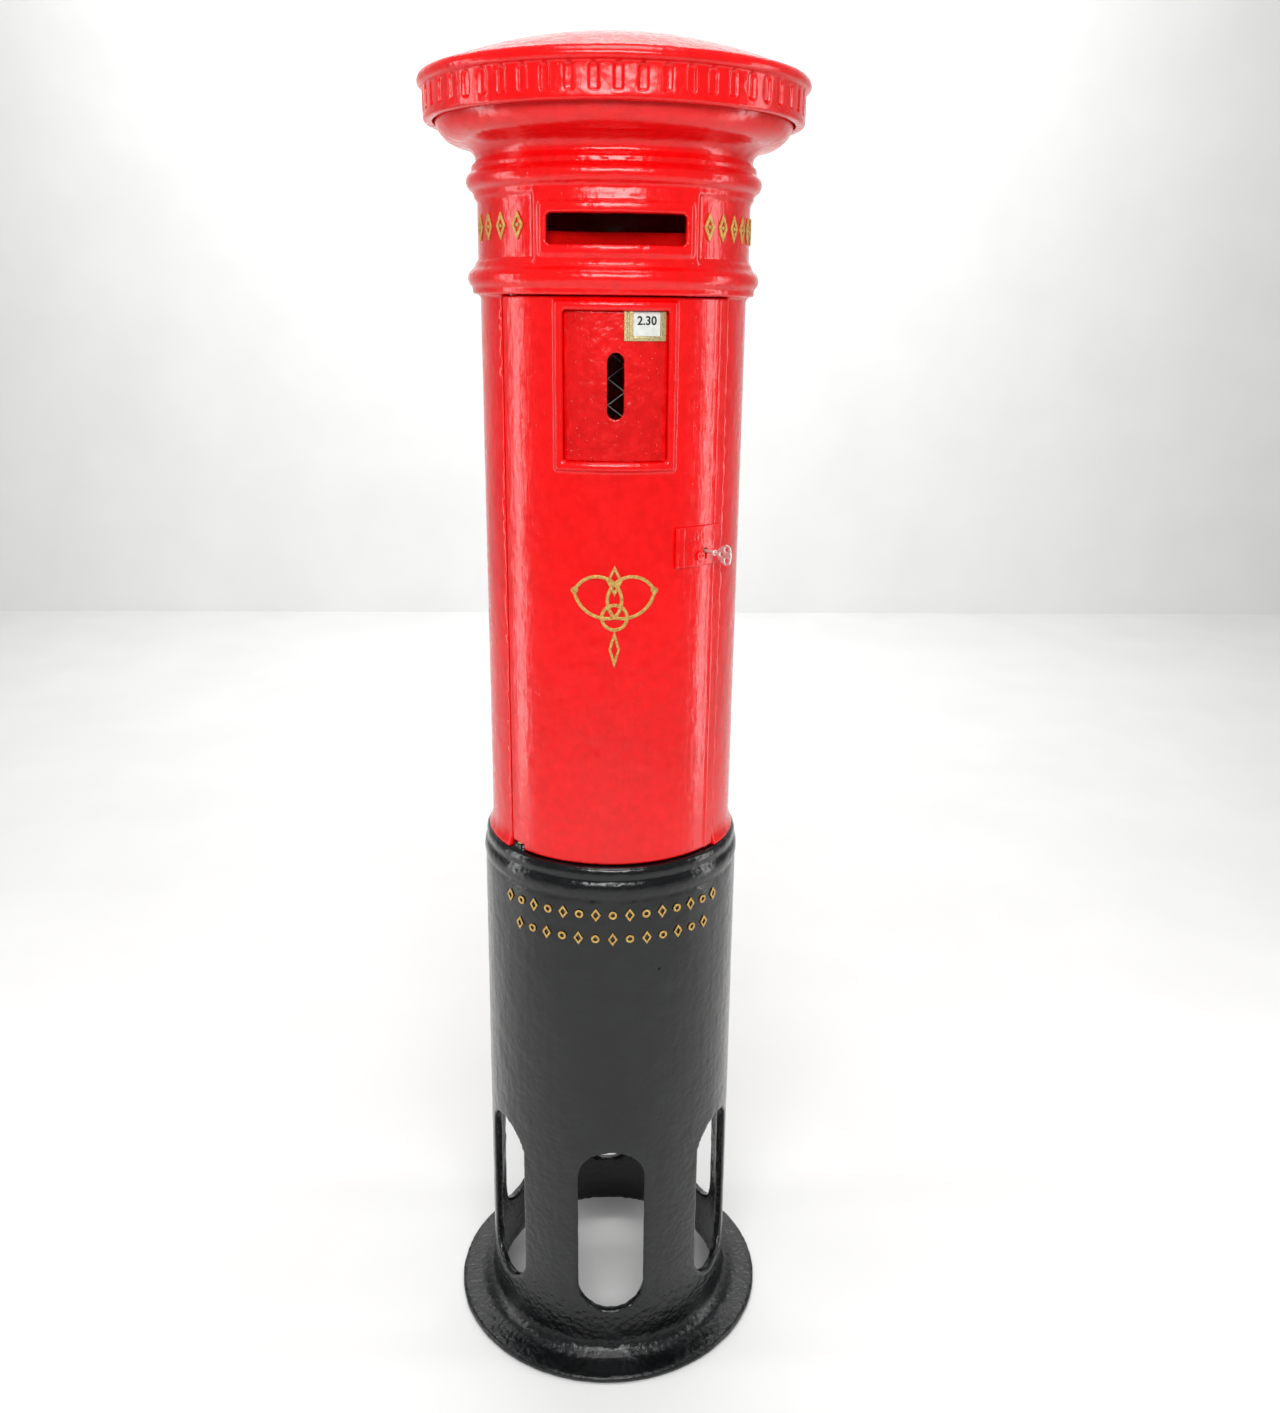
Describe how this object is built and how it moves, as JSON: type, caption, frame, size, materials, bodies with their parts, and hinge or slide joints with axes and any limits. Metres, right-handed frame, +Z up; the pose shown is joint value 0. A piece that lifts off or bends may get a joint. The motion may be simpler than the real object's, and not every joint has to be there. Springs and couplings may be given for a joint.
{
  "type": "pillar letter box",
  "caption": "Round cast-iron pillar letter box: domed fluted cap, letter slot, lockable curved door, black plinth with round-ended windows and a foot ring.",
  "frame": {"origin": "centre of the foot ring's underside, at the bottom of the box", "axes": "+Z up along the barrel; the door and the letter aperture face -Y; +X to the right from the front"},
  "size_m": [0.54, 0.54, 2.048],
  "materials": {
    "red_enamel_casting": "gloss",
    "red_enamel_door": "gloss",
    "red_enamel_plate": "gloss",
    "red_sheet": "gloss",
    "black_bitumen_casting": "gloss",
    "gilt_paint": "satin",
    "brass": "satin",
    "white_enamel": "gloss",
    "nickel_steel": "polished",
    "bright_steel": "brushed",
    "galvanised_wire": "matte",
    "black_iron": "matte",
    "dark_iron_plate": "satin"
  },
  "bodies": {
    "box": {"base_casting": "black_bitumen_casting", "body_casting": "red_enamel_casting", "cap_casting": "red_enamel_casting", "body_bolts": "black_iron", "body_nuts": "black_iron", "cap_bolts": "black_iron", "letter_chute": "red_sheet", "chute_brackets": "black_iron", "letter_floor": "dark_iron_plate", "guard_lugs": "black_iron", "guard_stop": "black_iron", "lock_keeper": "dark_iron_plate", "upper_pivot_pin": "bright_steel", "lower_pivot_pin": "bright_steel", "pivot_washer": "brass", "left_frieze_ornament": "gilt_paint", "right_frieze_ornament": "gilt_paint", "plinth_upper_ornament": "gilt_paint", "plinth_lower_ornament": "gilt_paint"},
    "door": {"door_casting": "red_enamel_door", "upper_hinge_plate": "dark_iron_plate", "lower_hinge_plate": "dark_iron_plate", "hinge_rivets": "black_iron", "notice_plate": "red_enamel_plate", "plate_screws": "red_enamel_plate", "tablet_holder": "brass", "door_emblem": "gilt_paint", "lock_pad": "red_enamel_door", "security_screw": "red_enamel_door", "lock_case": "dark_iron_plate", "lock_mounts": "dark_iron_plate", "lock_lid": "dark_iron_plate", "lid_screws": "black_iron"},
    "guard": {"guard_frame": "galvanised_wire", "guard_mesh": "galvanised_wire"},
    "key": {"key": "nickel_steel"},
    "bolt": {"lock_bolt": "bright_steel"},
    "tablet": {"day_tablet": "white_enamel"}
  },
  "joints": [
    {"name": "door_swing", "type": "hinge", "parent": "box", "child": "door", "pos_m": [-0.1378, -0.11812, 1.3], "axis": [0, 0, -1], "range_deg": [0, 105]},
    {"name": "guard_swing", "type": "hinge", "parent": "box", "child": "guard", "pos_m": [-0.112, -0.092, 1.3], "axis": [0, 0, -1], "range_deg": [0, 84]},
    {"name": "key_turn", "type": "hinge", "parent": "door", "child": "key", "pos_m": [0.1284, -0.14115, 1.3715], "axis": [0.6018, -0.7986, 0], "range_deg": [0, 360]},
    {"name": "bolt_throw", "type": "slide", "parent": "door", "child": "bolt", "axis": [0.7986, 0.6018, 0], "range_m": [0, 0.014]},
    {"name": "tablet_withdraw", "type": "slide", "parent": "door", "child": "tablet", "axis": [-0.2187, 0.9758, 0], "range_m": [0, 0.025]}
  ],
  "couplings": [
    {"joint": "guard_swing", "follows": "door_swing", "ratio": 0.8},
    {"joint": "key_turn", "follows": "bolt_throw", "rad_per_m": 448.8}
  ]
}
